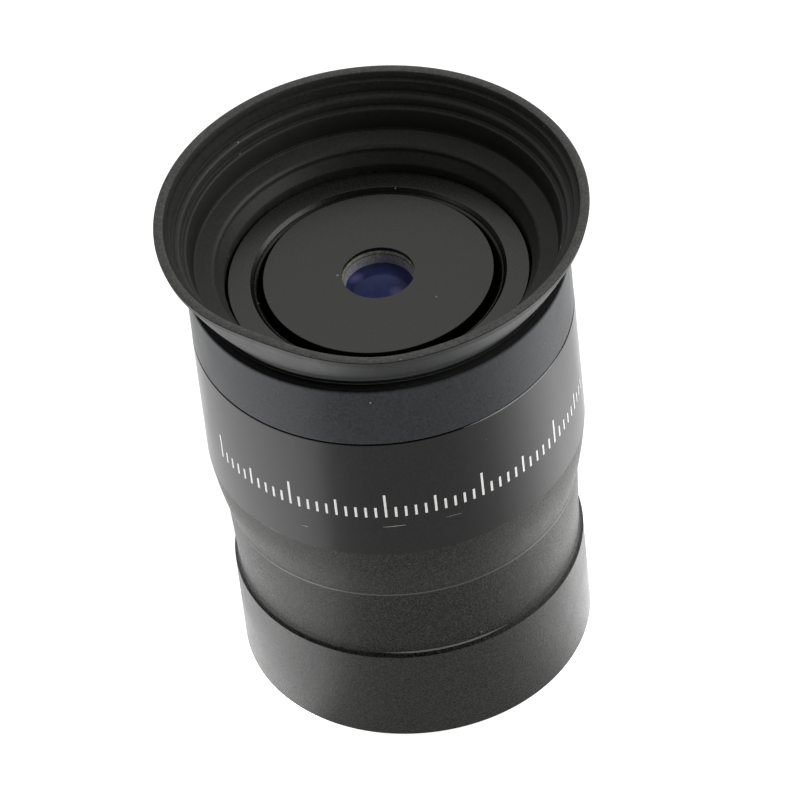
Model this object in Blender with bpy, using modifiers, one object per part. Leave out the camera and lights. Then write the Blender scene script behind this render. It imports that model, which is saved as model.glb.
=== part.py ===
"""Telescope eyepiece: a four-element design in a 31.75 mm nosepiece, with a fold-down rubber eyecup.

The origin is the centre of the nosepiece's open end, and +Z is the optical axis, towards the eye. Every
piece is turned about that axis, so each one is a (radius, height) section spun by a Screw modifier.
A closed section runs down its outer side and up its bore. A lens's section starts and ends on the axis.
"""

import math

import bpy

MM = 0.001
COLLECTION_NAME = "telescope_eyepiece"
CUTTER_COLLECTION_NAME = "cutters"

# How finely the turned pieces are divided, and the angle over which an edge stays sharp.
OUTER_SEGMENTS = 48
OPTICS_SEGMENTS = 32
SHARP_ANGLE = math.radians(30)
MERGE_DISTANCE = 0.00001
GAP = 0.3 * MM

# Heights along the axis, from the open end of the nosepiece to the rim of the eyecup.
BARREL_TOP = 10.02 * MM
UNDERCUT_BOTTOM = 10.50 * MM
NOSE_TOP = 18.14 * MM
TAPER_TOP = 24.24 * MM
SLEEVE_TOP = 37.49 * MM
CLAMP_RING_TOP = 42.14 * MM
PLATE_TOP = 42.34 * MM
BAND_TOP = 44.24 * MM
FOLD_HEIGHT = 45.04 * MM
SKIRT_FOOT = 45.34 * MM
BELLY_HEIGHT = 46.00 * MM
LIP_BOTTOM = 49.07 * MM
LIP_TOP = 49.77 * MM

# Outer radii.
NOSE_RADIUS = 15.875 * MM
UNDERCUT_RADIUS = 15.35 * MM
TAPER_FOOT_RADIUS = 15.50 * MM
HOUSING_RADIUS = 16.97 * MM
BAND_RADIUS = 16.95 * MM
SKIRT_FOOT_RADIUS = 16.75 * MM
BELLY_RADIUS = 17.20 * MM
LIP_RADIUS = 19.17 * MM
LIP_WIDTH = 1.0 * MM
CLAMP_RING_RADIUS = 13.30 * MM
BEVEL_RADIUS = 11.34 * MM
PLATE_RADIUS = 10.18 * MM
APERTURE_RADIUS = 3.23 * MM

# The eyecup's inside, as (radius, height) corners: first the facets and the tread round the clamp ring,
# then the edges of the steps up the flared wall.
WELL_CORNERS = (
    (13.60 * MM, 42.82 * MM),
    (14.23 * MM, 43.85 * MM),
    (14.51 * MM, 44.43 * MM),
)
STEP_CORNERS = (
    (16.50 * MM, 46.75 * MM),
    (16.85 * MM, 46.95 * MM),
    (17.00 * MM, 47.75 * MM),
    (17.55 * MM, 48.00 * MM),
)
TREAD_RADIUS = 16.05 * MM
STEP_TOP_RADIUS = 17.70 * MM

# The notch outside, which leaves a thin neck of rubber where the cup folds.
NOTCH_FLOOR = (15.75 * MM, 43.89 * MM)
FOLD_RADIUS = 16.55 * MM

# The nosepiece's inside: the mouth takes a filter thread, and the spigot screws into the main body.
EDGE_CHAMFER = 0.15 * MM
FILTER_THREAD_RADIUS = 14.15 * MM
FILTER_THREAD_DEPTH = 5.5 * MM
NOSE_BORE_RADIUS = 13.3 * MM
SPIGOT_RADIUS = 14.2 * MM
SPIGOT_TOP = 23.9 * MM

# The main body: a tube with a web that carries the lens cell, and a neck that carries the eyecup.
CORE_RADIUS = 15.3 * MM
CORE_BORE_RADIUS = 13.0 * MM
WEB_BOTTOM = 35.5 * MM
WEB_TOP = 37.5 * MM
NECK_RADIUS = 12.6 * MM
NECK_BORE_RADIUS = 11.7 * MM
NECK_TOP = 39.7 * MM

# The lens cell: a stepped tube whose shoulder sits on the web.
CELL_RADIUS = 6.5 * MM
CELL_STEM_RADIUS = 6.0 * MM
CELL_BORE_RADIUS = 4.2 * MM
CELL_BOTTOM = 29.3 * MM
CELL_TOP = 41.39 * MM
APERTURE_LIP = 0.35 * MM
PLATE_SEAT_RADIUS = 4.1 * MM

# The optics: each doublet is a weak outer face, a strong cemented face and a medium inner face.
LENS_RADIUS = CELL_BORE_RADIUS - GAP
OUTER_FACE_RADIUS = 25.0 * MM
CEMENTED_FACE_RADIUS = 5.5 * MM
INNER_FACE_RADIUS = 7.0 * MM
FLINT_CENTRE = 0.8 * MM
CROWN_EDGE = 0.6 * MM
EYE_VERTEX = 41.9 * MM
DOUBLET_AIR_GAP = 0.5 * MM
SPACER_BORE_RADIUS = 3.3 * MM
STOP_RADIUS = 1.95 * MM
STOP_HEIGHT = 0.75 * MM
RETAINER_BORE_RADIUS = 2.9 * MM
RETAINER_HEIGHT = 1.2 * MM
SLOT_WIDTH = 1.0 * MM
SLOT_DEPTH = 0.6 * MM
FACE_STATIONS = 6


def clear_scene():
    """Empties the scene, so that only the eyepiece is left in it."""
    for obj in list(bpy.data.objects):
        bpy.data.objects.remove(obj, do_unlink=True)


def new_collection(name):
    collection = bpy.data.collections.new(name)
    bpy.context.scene.collection.children.link(collection)
    return collection


def new_material(name, color, roughness, metallic=0.0, transmission=0.0):
    material = bpy.data.materials.new(name)
    material.use_nodes = True
    shader = material.node_tree.nodes["Principled BSDF"]
    shader.inputs["Base Color"].default_value = (*color, 1.0)
    shader.inputs["Roughness"].default_value = roughness
    shader.inputs["Metallic"].default_value = metallic
    shader.inputs["Transmission Weight"].default_value = transmission
    material.diffuse_color = (*color, 1.0)
    return material


def turned(name, profile, material, segments=OUTER_SEGMENTS, closed=True):
    """Spins a (radius, height) section about the optical axis into one solid piece."""
    section = bpy.data.meshes.new(name + "_section")
    points = [(radius, 0.0, height) for radius, height in profile]
    edges = [(index, index + 1) for index in range(len(points) - 1)]
    if closed:
        edges.append((len(points) - 1, 0))
    section.from_pydata(points, edges, [])
    piece = bpy.data.objects.new(name, section)
    bpy.data.collections[COLLECTION_NAME].objects.link(piece)
    screw = piece.modifiers.new("Turn", "SCREW")
    screw.axis = "Z"
    screw.angle = math.tau
    screw.steps = segments
    screw.render_steps = segments
    screw.use_merge_vertices = True
    screw.merge_threshold = MERGE_DISTANCE
    bake_modifiers(piece)
    piece.data.materials.append(material)
    return piece


def bake_modifiers(piece):
    """Turns the modifiers' result into the piece's own mesh, shaded smooth between its sharp edges."""
    bpy.context.view_layer.update()
    evaluated = piece.evaluated_get(bpy.context.evaluated_depsgraph_get())
    mesh = bpy.data.meshes.new_from_object(evaluated)
    piece.modifiers.clear()
    piece.data = mesh
    mesh.name = piece.name
    mesh.shade_smooth()
    mesh.set_sharp_from_angle(angle=SHARP_ANGLE)


def sagitta(face_radius, height_off_axis):
    """How far a spherical face has fallen away from its vertex, at a distance from the axis."""
    return face_radius - math.sqrt(face_radius**2 - height_off_axis**2)


def spherical_face(vertex, face_radius, direction):
    """A lens face from the axis to its rim. It bends down for direction -1 and up for +1."""
    stations = [LENS_RADIUS * index / (FACE_STATIONS - 1) for index in range(FACE_STATIONS)]
    return [(radius, vertex + direction * sagitta(face_radius, radius)) for radius in stations]


def make_lens(name, top_face, bottom_face, glass):
    """A lens between two faces that both run from the axis out to the rim."""
    profile = top_face + bottom_face[::-1]
    return turned(name, profile, glass, OPTICS_SEGMENTS, closed=False)


def make_nosepiece(anodised):
    """The tube that slides into the focuser: a full-width foot, a tapered undercut and a full-width rim."""
    profile = [
        (SPIGOT_RADIUS, SPIGOT_TOP),
        (SPIGOT_RADIUS, NOSE_TOP),
        (NOSE_RADIUS, NOSE_TOP),
        (NOSE_RADIUS, NOSE_TOP - EDGE_CHAMFER),
        (UNDERCUT_RADIUS, UNDERCUT_BOTTOM),
        (NOSE_RADIUS - EDGE_CHAMFER, BARREL_TOP + EDGE_CHAMFER),
        (NOSE_RADIUS, BARREL_TOP),
        (NOSE_RADIUS, EDGE_CHAMFER),
        (NOSE_RADIUS - EDGE_CHAMFER, 0.0),
        (FILTER_THREAD_RADIUS + EDGE_CHAMFER, 0.0),
        (FILTER_THREAD_RADIUS, EDGE_CHAMFER),
        (FILTER_THREAD_RADIUS, FILTER_THREAD_DEPTH),
        (NOSE_BORE_RADIUS, FILTER_THREAD_DEPTH),
        (NOSE_BORE_RADIUS, SPIGOT_TOP),
    ]
    return turned("nosepiece", profile, anodised)


def make_main_body(anodised):
    """The core: a taper outside, a socket for the nosepiece below, a web inside and a neck on top."""
    neck_foot = SLEEVE_TOP
    socket_top = SPIGOT_TOP + GAP
    profile = [
        (NECK_RADIUS, NECK_TOP),
        (NECK_RADIUS, neck_foot),
        (CORE_RADIUS, neck_foot),
        (CORE_RADIUS, TAPER_TOP),
        (HOUSING_RADIUS, TAPER_TOP),
        (TAPER_FOOT_RADIUS, NOSE_TOP + GAP),
        (SPIGOT_RADIUS + GAP, NOSE_TOP + GAP),
        (SPIGOT_RADIUS + GAP, socket_top),
        (CORE_BORE_RADIUS, socket_top),
        (CORE_BORE_RADIUS, WEB_BOTTOM),
        (CELL_STEM_RADIUS + GAP, WEB_BOTTOM),
        (CELL_STEM_RADIUS + GAP, WEB_TOP),
        (NECK_BORE_RADIUS, WEB_TOP),
        (NECK_BORE_RADIUS, NECK_TOP),
    ]
    return turned("main_body", profile, anodised)


def make_housing_sleeve(anodised):
    """The smooth outer cylinder, which stands on the main body's shoulder."""
    profile = [
        (HOUSING_RADIUS, SLEEVE_TOP),
        (HOUSING_RADIUS, TAPER_TOP + GAP),
        (CORE_RADIUS + GAP, TAPER_TOP + GAP),
        (CORE_RADIUS + GAP, SLEEVE_TOP),
    ]
    return turned("housing_sleeve", profile, anodised)


def make_clamp_ring(metal):
    """The ring that holds the eyecup's bead down. Its bore has a wide bevel and takes the face plate."""
    flange_bottom = NECK_TOP + GAP
    bore = PLATE_RADIUS + GAP
    profile = [
        (CLAMP_RING_RADIUS, CLAMP_RING_TOP),
        (CLAMP_RING_RADIUS, flange_bottom),
        (NECK_BORE_RADIUS - GAP, flange_bottom),
        (NECK_BORE_RADIUS - GAP, WEB_TOP + GAP),
        (bore, WEB_TOP + GAP),
        (bore, CLAMP_RING_TOP - (BEVEL_RADIUS - bore)),
        (BEVEL_RADIUS, CLAMP_RING_TOP),
    ]
    return turned("clamp_ring", profile, metal)


def make_eye_plate(metal):
    """The face disc: a cap over the lens cell, with a thin lip round the aperture."""
    lip_bottom = PLATE_TOP - APERTURE_LIP
    seat_bottom = CELL_TOP + GAP
    profile = [
        (PLATE_RADIUS, PLATE_TOP),
        (PLATE_RADIUS, WEB_TOP + GAP),
        (CELL_RADIUS + GAP, WEB_TOP + GAP),
        (CELL_RADIUS + GAP, seat_bottom),
        (PLATE_SEAT_RADIUS, seat_bottom),
        (PLATE_SEAT_RADIUS, lip_bottom),
        (APERTURE_RADIUS, lip_bottom),
        (APERTURE_RADIUS, PLATE_TOP),
    ]
    return turned("eye_plate", profile, metal)


def make_lens_cell(metal):
    """The stepped tube round the optics. Its shoulder rests on the main body's web."""
    profile = [
        (CELL_RADIUS, CELL_TOP),
        (CELL_RADIUS, WEB_TOP + GAP),
        (CELL_STEM_RADIUS, WEB_TOP + GAP),
        (CELL_STEM_RADIUS, CELL_BOTTOM),
        (CELL_BORE_RADIUS, CELL_BOTTOM),
        (CELL_BORE_RADIUS, CELL_TOP),
    ]
    return turned("lens_cell", profile, metal, OPTICS_SEGMENTS)


def ring_in_cell(name, bore, bottom, top, metal):
    """A plain ring that slides into the lens cell's bore."""
    profile = [(LENS_RADIUS, top), (LENS_RADIUS, bottom), (bore, bottom), (bore, top)]
    return turned(name, profile, metal, OPTICS_SEGMENTS)


def make_optics(glass, metal):
    """The two doublets, mirror images across the air gap, with their spacer, stop and retaining ring."""
    flint_foot = EYE_VERTEX - FLINT_CENTRE
    crown_vertex = flint_foot - GAP
    crown_rim = crown_vertex - sagitta(CEMENTED_FACE_RADIUS, LENS_RADIUS) - CROWN_EDGE
    crown_foot = crown_rim - sagitta(INNER_FACE_RADIUS, LENS_RADIUS)
    middle = crown_foot - DOUBLET_AIR_GAP / 2

    def mirrored(height):
        return 2 * middle - height

    def mirrored_face(vertex, face_radius, direction):
        return spherical_face(mirrored(vertex), face_radius, -direction)

    make_lens(
        "eye_flint",
        spherical_face(EYE_VERTEX, OUTER_FACE_RADIUS, -1),
        spherical_face(flint_foot, CEMENTED_FACE_RADIUS, -1),
        glass,
    )
    make_lens(
        "eye_crown",
        spherical_face(crown_vertex, CEMENTED_FACE_RADIUS, -1),
        spherical_face(crown_foot, INNER_FACE_RADIUS, 1),
        glass,
    )
    make_lens(
        "field_crown",
        mirrored_face(crown_foot, INNER_FACE_RADIUS, 1),
        mirrored_face(crown_vertex, CEMENTED_FACE_RADIUS, -1),
        glass,
    )
    make_lens(
        "field_flint",
        mirrored_face(flint_foot, CEMENTED_FACE_RADIUS, -1),
        mirrored_face(EYE_VERTEX, OUTER_FACE_RADIUS, -1),
        glass,
    )

    spacer_top = crown_foot + sagitta(INNER_FACE_RADIUS, SPACER_BORE_RADIUS) - GAP
    ring_in_cell("lens_spacer", SPACER_BORE_RADIUS, mirrored(spacer_top), spacer_top, metal)
    stop_top = mirrored(EYE_VERTEX) - GAP
    stop_bottom = stop_top - STOP_HEIGHT
    ring_in_cell("field_stop", STOP_RADIUS, stop_bottom, stop_top, metal)
    retainer_top = stop_bottom - GAP
    retainer_bottom = retainer_top - RETAINER_HEIGHT
    retainer = ring_in_cell(
        "cell_retaining_ring", RETAINER_BORE_RADIUS, retainer_bottom, retainer_top, metal
    )
    cut_spanner_slots(retainer, retainer_bottom)


def cut_spanner_slots(retainer, bottom):
    """Two slots across the retaining ring's lower face, cut by one bar that runs right over it."""
    bpy.ops.mesh.primitive_cube_add(size=1.0, location=(0.0, 0.0, bottom))
    bar = bpy.context.object
    bar.name = "spanner_slot_cutter"
    bar.scale = (4 * LENS_RADIUS, SLOT_WIDTH, 2 * SLOT_DEPTH)
    bpy.ops.object.transform_apply(location=False, rotation=False, scale=True)
    for collection in list(bar.users_collection):
        collection.objects.unlink(bar)
    bpy.data.collections[CUTTER_COLLECTION_NAME].objects.link(bar)
    bar.hide_render = True
    bar.display_type = "WIRE"
    slots = retainer.modifiers.new("Spanner slots", "BOOLEAN")
    slots.operation = "DIFFERENCE"
    slots.object = bar


def flare_radius(height):
    """The outer radius of the flared wall at a height: a straight cone from its belly to the rim."""
    rise = (height - BELLY_HEIGHT) / (LIP_TOP - BELLY_HEIGHT)
    return BELLY_RADIUS + rise * (LIP_RADIUS - BELLY_RADIUS)


def make_eyecup_base(rubber):
    """The band round the neck: a bead under the clamp ring, a faceted well inside and a notch outside."""
    top = FOLD_HEIGHT - GAP
    well_radius = WELL_CORNERS[0][0]
    profile = [
        (FOLD_RADIUS, top),
        NOTCH_FLOOR,
        (BAND_RADIUS, BAND_TOP),
        (BAND_RADIUS, SLEEVE_TOP + GAP),
        (NECK_RADIUS + GAP, SLEEVE_TOP + GAP),
        (NECK_RADIUS + GAP, NECK_TOP),
        (well_radius, NECK_TOP),
        *WELL_CORNERS,
        (TREAD_RADIUS, top),
    ]
    return turned("eyecup_base", profile, rubber)


def make_eyecup_skirt(rubber):
    """The flared wall: a plain cone outside, and treads that step outwards inside."""
    top = LIP_BOTTOM - GAP
    profile = [
        (flare_radius(top), top),
        (BELLY_RADIUS, BELLY_HEIGHT),
        (SKIRT_FOOT_RADIUS, SKIRT_FOOT),
        (FOLD_RADIUS, FOLD_HEIGHT),
        (TREAD_RADIUS, FOLD_HEIGHT),
        *STEP_CORNERS,
        (STEP_TOP_RADIUS, top),
    ]
    return turned("eyecup_skirt", profile, rubber)


def make_eyecup_lip(rubber):
    """The rim that meets the eye socket, as wide as the object gets."""
    profile = [
        (LIP_RADIUS, LIP_TOP),
        (flare_radius(LIP_BOTTOM), LIP_BOTTOM),
        (LIP_RADIUS - LIP_WIDTH, LIP_BOTTOM),
        (LIP_RADIUS - LIP_WIDTH, LIP_TOP),
    ]
    return turned("eyecup_lip", profile, rubber)


def main():
    clear_scene()
    new_collection(COLLECTION_NAME)
    new_collection(CUTTER_COLLECTION_NAME)
    blasted = new_material("black_blasted_anodised", (0.020, 0.020, 0.022), 0.55, metallic=0.6)
    satin = new_material("black_satin_anodised", (0.018, 0.018, 0.020), 0.30, metallic=0.6)
    grey = new_material("dark_grey_anodised", (0.062, 0.062, 0.058), 0.60, metallic=0.5)
    rubber = new_material("black_rubber", (0.022, 0.024, 0.028), 0.65)
    glass = new_material("coated_glass", (0.62, 0.60, 0.92), 0.02, transmission=1.0)
    inner = new_material("black_inner_metal", (0.015, 0.015, 0.015), 0.70, metallic=0.5)

    make_nosepiece(blasted)
    make_main_body(blasted)
    make_housing_sleeve(satin)
    make_clamp_ring(grey)
    make_eye_plate(grey)
    make_lens_cell(inner)
    make_optics(glass, inner)
    make_eyecup_base(rubber)
    make_eyecup_skirt(rubber)
    make_eyecup_lip(rubber)


main()
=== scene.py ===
"""Looks for the telescope eyepiece: finely turned pieces, procedural finishes and a white studio.

Every turned piece starts from its CAD node's own section, read from the frame. Its corners are rounded,
its seams are closed up to a hairline, and it is spun again with many more segments. Sizes are in metres.
"""

import math

import bmesh
import bpy
import numpy as np
from mathutils import Matrix, Vector


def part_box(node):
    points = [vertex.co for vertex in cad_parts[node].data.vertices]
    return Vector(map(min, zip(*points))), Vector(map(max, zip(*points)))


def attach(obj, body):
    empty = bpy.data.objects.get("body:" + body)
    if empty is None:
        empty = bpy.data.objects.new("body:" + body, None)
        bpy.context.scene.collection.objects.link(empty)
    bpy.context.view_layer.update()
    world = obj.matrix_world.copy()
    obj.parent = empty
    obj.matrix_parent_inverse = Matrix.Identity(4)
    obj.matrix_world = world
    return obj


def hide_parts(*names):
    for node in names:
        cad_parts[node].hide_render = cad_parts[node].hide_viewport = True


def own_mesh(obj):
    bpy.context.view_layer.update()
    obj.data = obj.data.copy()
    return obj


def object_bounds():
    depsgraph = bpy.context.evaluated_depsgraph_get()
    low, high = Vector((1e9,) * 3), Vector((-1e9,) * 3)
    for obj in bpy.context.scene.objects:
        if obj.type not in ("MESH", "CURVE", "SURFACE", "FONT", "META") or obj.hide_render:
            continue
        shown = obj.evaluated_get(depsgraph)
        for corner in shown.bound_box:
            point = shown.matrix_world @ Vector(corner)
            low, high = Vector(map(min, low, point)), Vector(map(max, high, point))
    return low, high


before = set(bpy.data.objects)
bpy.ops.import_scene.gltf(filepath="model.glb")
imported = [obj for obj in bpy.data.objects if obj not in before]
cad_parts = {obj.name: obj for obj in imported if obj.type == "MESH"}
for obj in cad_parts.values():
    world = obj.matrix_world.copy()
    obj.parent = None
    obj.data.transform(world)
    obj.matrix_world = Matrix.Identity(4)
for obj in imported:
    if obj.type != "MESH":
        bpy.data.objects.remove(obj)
cad_low, cad_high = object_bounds()

MM = 0.001
SEGMENTS = 160
CORNER_STEPS = 4
# A rounded corner takes up to this share of each side next to it, and a guard point follows it this much on.
CORNER_REACH = 0.45
CORNER_GUARD = 0.04
EDGE_ROUNDING = 0.10 * MM
SHARP_ANGLE = math.radians(32)
SEAM = 0.04 * MM
BAND_SEAM = 0.09 * MM
GAP = 0.30 * MM
SAME = 0.001 * MM


# ---------------------------------------------------------------- sections


def section(node):
    """The outline of a CAD node in the half-plane through the axis, as (radius, height) points in order."""
    mesh = bmesh.new()
    mesh.from_mesh(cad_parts[node].data)
    bmesh.ops.remove_doubles(mesh, verts=mesh.verts, dist=SAME)
    everything = mesh.verts[:] + mesh.edges[:] + mesh.faces[:]
    cut = bmesh.ops.bisect_plane(mesh, geom=everything, dist=SAME, plane_co=(0, 0, 0), plane_no=(0, 1, 0))
    links = {}
    for edge in cut["geom_cut"]:
        if isinstance(edge, bmesh.types.BMEdge) and all(vert.co.x > -SAME for vert in edge.verts):
            first, second = edge.verts
            if max(first.co.x, second.co.x) > SAME:
                links.setdefault(first, []).append(second)
                links.setdefault(second, []).append(first)
    ends = [vert for vert, others in links.items() if len(others) == 1]
    start = max(ends or links, key=lambda vert: vert.co.z)
    chain = [start]
    while len(chain) < len(links):
        chain.append(next(vert for vert in links[chain[-1]] if vert not in chain))
    points = [(vert.co.x, vert.co.z) for vert in chain]
    mesh.free()
    return without_straight_points(points, closed=not ends)


def without_straight_points(points, closed):
    """Drops the points that lie on a straight line between their neighbours."""
    kept = []
    for index, (radius, height) in enumerate(points):
        if not closed and index in (0, len(points) - 1):
            kept.append((radius, height))
            continue
        before = points[index - 1]
        after = points[(index + 1) % len(points)]
        run, rise = after[0] - before[0], after[1] - before[1]
        cross = (radius - before[0]) * rise - (height - before[1]) * run
        length = math.dist(before, after)
        if length < SAME or abs(cross) / length > SAME:
            kept.append((radius, height))
    return kept


def rounded(points, radius=EDGE_ROUNDING, closed=True):
    """Rounds the corners of an outline. radius is a length, or a function of a corner that gives one."""
    result = []
    count = len(points)
    for index, corner in enumerate(points):
        if not closed and index in (0, count - 1):
            result.append(corner)
            continue
        here = Vector(corner)
        back = Vector(points[index - 1]) - here
        on = Vector(points[(index + 1) % count]) - here
        wanted = radius(*corner) if callable(radius) else radius
        reach = min(wanted, CORNER_REACH * back.length, CORNER_REACH * on.length)
        start = here + back.normalized() * reach
        end = here + on.normalized() * reach
        result.append(tuple(start + back.normalized() * min(reach / 2, CORNER_GUARD * back.length)))
        for step in range(CORNER_STEPS + 1):
            t = step / CORNER_STEPS
            result.append(tuple(start * (1 - t) ** 2 + here * 2 * t * (1 - t) + end * t**2))
        result.append(tuple(end + on.normalized() * min(reach / 2, CORNER_GUARD * on.length)))
    return result


def moved(points, change):
    """The outline with each (radius, height) point put through a function."""
    return [tuple(change(radius, height)) for radius, height in points]


def finish_mesh(mesh, material):
    """Closes the mesh, turns its faces outwards and shades it smooth between its sharp edges."""
    shape = bmesh.new()
    shape.from_mesh(mesh)
    bmesh.ops.remove_doubles(shape, verts=shape.verts, dist=SAME / 10)
    bmesh.ops.recalc_face_normals(shape, faces=shape.faces)
    shape.to_mesh(mesh)
    shape.free()
    mesh.shade_smooth()
    mesh.set_sharp_from_angle(angle=SHARP_ANGLE)
    mesh.materials.append(material)


def link(name, mesh):
    """Puts a mesh into the scene as an object."""
    piece = bpy.data.objects.new(name, mesh)
    bpy.context.scene.collection.objects.link(piece)
    return piece


def spun(name, points, material, closed=True, segments=SEGMENTS):
    """Spins an outline about the axis into a piece."""
    outline = np.array(points)
    angles = np.arange(segments) * math.tau / segments
    rows = [
        np.stack([radius * np.cos(angles), radius * np.sin(angles), np.full(segments, height)], axis=1)
        for radius, height in outline
    ]
    faces = []
    runs = len(points) if closed else len(points) - 1
    for run in range(runs):
        low, high = run * segments, ((run + 1) % len(points)) * segments
        for step in range(segments):
            following = (step + 1) % segments
            faces.append((low + step, low + following, high + following, high + step))
    mesh = bpy.data.meshes.new(name)
    mesh.from_pydata(np.concatenate(rows).tolist(), [], faces)
    finish_mesh(mesh, material)
    return link(name, mesh)


def paint(piece, material, chosen):
    """Gives the faces that chosen(radius, height, outward, upward) picks a material of their own.

    outward is how much a face looks away from the axis, and upward how much it looks up, both from -1 to 1.
    """
    piece.data.materials.append(material)
    for face in piece.data.polygons:
        radius = math.hypot(face.center.x, face.center.y)
        outward = (face.center.x * face.normal.x + face.center.y * face.normal.y) / radius
        if chosen(radius, face.center.z, outward, face.normal.z):
            face.material_index = len(piece.data.materials) - 1


def place(piece, body, slot, *nodes):
    """Puts a piece on its CAD body, in the place of the nodes it stands for."""
    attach(piece, body)
    if nodes:
        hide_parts(*nodes)
    return piece


# ---------------------------------------------------------------- finishes


class Finish:
    """A material with a Principled shader, and short ways to add the nodes that drive it."""

    def __init__(self, name):
        self.material = bpy.data.materials.new(name)
        self.material.use_nodes = True
        self.nodes = self.material.node_tree.nodes
        self.shader = self.nodes["Principled BSDF"]
        self.place = self.node("ShaderNodeTexCoord").outputs["Object"]

    def node(self, kind, **settings):
        made = self.nodes.new(kind)
        for key, value in settings.items():
            setattr(made, key, value)
        return made

    def join(self, source, target):
        self.material.node_tree.links.new(source, target)

    def set(self, **values):
        """Sets the shader's own sockets; an underscore in a name stands for a space."""
        for key, value in values.items():
            self.shader.inputs[key.replace("_", " ")].default_value = value

    def noise(self, size, detail=3.0, stretch=(1, 1, 1), roughness=0.5):
        """Noise whose features are about this size. It runs from 0 to 1."""
        mapping = self.node("ShaderNodeMapping")
        mapping.inputs["Scale"].default_value = stretch
        self.join(self.place, mapping.inputs["Vector"])
        texture = self.node("ShaderNodeTexNoise")
        texture.inputs["Scale"].default_value = 1 / size
        texture.inputs["Detail"].default_value = detail
        texture.inputs["Roughness"].default_value = roughness
        self.join(mapping.outputs["Vector"], texture.inputs["Vector"])
        return texture.outputs["Fac"]

    def ramp(self, source, start, end, low, high):
        """Maps start..end of a value onto low..high."""
        remap = self.node("ShaderNodeMapRange")
        remap.inputs["From Min"].default_value = start
        remap.inputs["From Max"].default_value = end
        remap.inputs["To Min"].default_value = low
        remap.inputs["To Max"].default_value = high
        self.join(source, remap.inputs["Value"])
        return remap.outputs["Result"]

    def math(self, operation, first, second):
        made = self.node("ShaderNodeMath", operation=operation)
        for socket, value in zip(made.inputs, (first, second)):
            if isinstance(value, (int, float)):
                socket.default_value = value
            else:
                self.join(value, socket)
        return made.outputs["Value"]

    def blend(self, factor, first, second):
        """A colour between two: each is an (r, g, b) or a node's output."""
        mix = self.node("ShaderNodeMix", data_type="RGBA")
        self.join(factor, mix.inputs[0])
        for socket, color in ((mix.inputs[6], first), (mix.inputs[7], second)):
            if isinstance(color, tuple):
                socket.default_value = (*color, 1.0)
            else:
                self.join(color, socket)
        return mix.outputs[2]

    def specks(self, spacing, share, radius):
        """1 on a few round specks, 0 elsewhere: one cell in so many holds one."""
        texture = self.node("ShaderNodeTexVoronoi")
        texture.inputs["Scale"].default_value = 1 / spacing
        self.join(self.place, texture.inputs["Vector"])
        split = self.node("ShaderNodeSeparateColor")
        self.join(texture.outputs["Color"], split.inputs["Color"])
        chosen = self.math("LESS_THAN", split.outputs[0], share)
        near = self.math("LESS_THAN", texture.outputs["Distance"], radius)
        return self.math("MULTIPLY", chosen, near)

    def color(self, source):
        self.join(source, self.shader.inputs["Base Color"])

    def rough(self, source):
        self.join(source, self.shader.inputs["Roughness"])

    def bump(self, *layers):
        """Stacks bump layers of (height, depth in metres, strength)."""
        normal = None
        for height, depth, strength in layers:
            bump = self.node("ShaderNodeBump")
            bump.inputs["Distance"].default_value = depth
            bump.inputs["Strength"].default_value = strength
            self.join(height, bump.inputs["Height"])
            if normal is not None:
                self.join(normal, bump.inputs["Normal"])
            normal = bump.outputs["Normal"]
        self.join(normal, self.shader.inputs["Normal"])


def blasted_metal(name, low, high, sheen, roughness):
    """Bead-blasted black anodising: an even, fine grain between two tones, with a soft sheen."""
    finish = Finish(name)
    grain = finish.noise(0.16 * MM, detail=4, roughness=0.7)
    patches = finish.noise(3.5 * MM, detail=2)
    dust = finish.specks(0.9 * MM, 0.012, 0.09)
    tone = finish.blend(finish.ramp(grain, 0.42, 0.62, 0, 1), low, high)
    finish.color(finish.blend(dust, tone, (0.25, 0.25, 0.24)))
    finish.set(Specular_IOR_Level=sheen)
    rough = finish.ramp(grain, 0.3, 0.7, 0.8 * roughness, 1.2 * roughness)
    finish.rough(finish.math("ADD", rough, finish.ramp(patches, 0.3, 0.7, -0.03, 0.03)))
    finish.bump((grain, 0.05 * MM, 0.8))
    return finish.material


def satin_metal():
    """Smooth black anodising: faint turning marks round the axis and a few hairline scratches."""
    finish = Finish("satin_anodised")
    turning = finish.noise(0.9 * MM, detail=3, stretch=(0.05, 0.05, 12))
    cloud = finish.noise(4 * MM, detail=3)
    dust = finish.specks(1.1 * MM, 0.010, 0.08)
    grain = finish.noise(0.17 * MM, detail=3, roughness=0.6)
    tone = finish.blend(cloud, (0.0015, 0.0016, 0.0014), (0.0028, 0.0030, 0.0026))
    tone = finish.blend(finish.ramp(grain, 0.4, 0.65, 0, 1), tone, (0.0085, 0.0090, 0.0078))
    finish.color(finish.blend(dust, tone, (0.25, 0.25, 0.24)))
    finish.set(Specular_IOR_Level=0.20)
    rough = finish.ramp(turning, 0.3, 0.7, 0.18, 0.22)
    finish.rough(finish.math("ADD", rough, finish.ramp(cloud, 0.3, 0.7, -0.02, 0.02)))
    finish.bump((turning, 0.003 * MM, 0.2))
    return finish.material


def grey_metal(name, index):
    """Turned dark grey anodising, with a fine grain and a satin sheen. index is its index of refraction."""
    finish = Finish(name)
    grain = finish.noise(0.20 * MM, detail=4, roughness=0.65)
    cloud = finish.noise(2.6 * MM, detail=3)
    dust = finish.specks(1.2 * MM, 0.020, 0.085)
    tone = finish.blend(cloud, (0.0034, 0.0035, 0.0030), (0.0060, 0.0061, 0.0054))
    tone = finish.blend(finish.ramp(grain, 0.35, 0.65, 0, 0.5), tone, (0.010, 0.010, 0.0090))
    finish.color(finish.blend(dust, tone, (0.40, 0.40, 0.38)))
    finish.set(IOR=index, Specular_Tint=(1.0, 1.0, 0.95, 1))
    finish.rough(finish.ramp(grain, 0.3, 0.7, 0.22, 0.32))
    finish.bump((grain, 0.006 * MM, 0.2))
    return finish.material


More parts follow.
